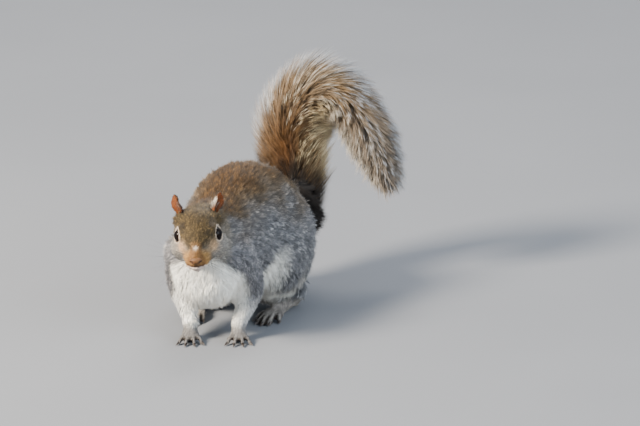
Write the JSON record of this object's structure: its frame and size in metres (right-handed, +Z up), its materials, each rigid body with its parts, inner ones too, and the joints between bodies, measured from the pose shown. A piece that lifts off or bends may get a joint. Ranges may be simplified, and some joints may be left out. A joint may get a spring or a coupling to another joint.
{
  "type": "grey squirrel figure",
  "caption": "Life-size still model of a grey squirrel on all fours, tail arched up behind it, for display on a floor or shelf.",
  "frame": {"origin": "on the floor, below the middle of the bounding box", "axes": "+Z up, -Y the way the body faces, +X the animal's left side"},
  "size_m": [0.1386, 0.243, 0.1725],
  "materials": {
    "coat": "furred hide: soft matte fur, grey-brown with a white belly",
    "tail_coat": "long loose fur, tawny with dark bands and silver tips",
    "ear_skin": "thin skin with very short rusty fur",
    "eye_gloss": "wet black gloss",
    "nose_skin": "bare damp skin"
  },
  "bodies": {
    "root": {"head": "coat", "neck": "coat", "trunk": "coat", "foreleg_left": "coat", "foreleg_right": "coat", "forepaw_left": "coat", "forepaw_right": "coat", "thigh_left": "coat", "thigh_right": "coat", "hind_foot_left": "coat", "hind_foot_right": "coat", "tail_1": "tail_coat", "tail_2": "tail_coat", "tail_3": "tail_coat", "tail_4": "tail_coat", "tail_5": "tail_coat", "ear_left": "ear_skin", "ear_right": "ear_skin", "eye_left": "eye_gloss", "eye_right": "eye_gloss", "nose": "nose_skin"}
  },
  "joints": []
}
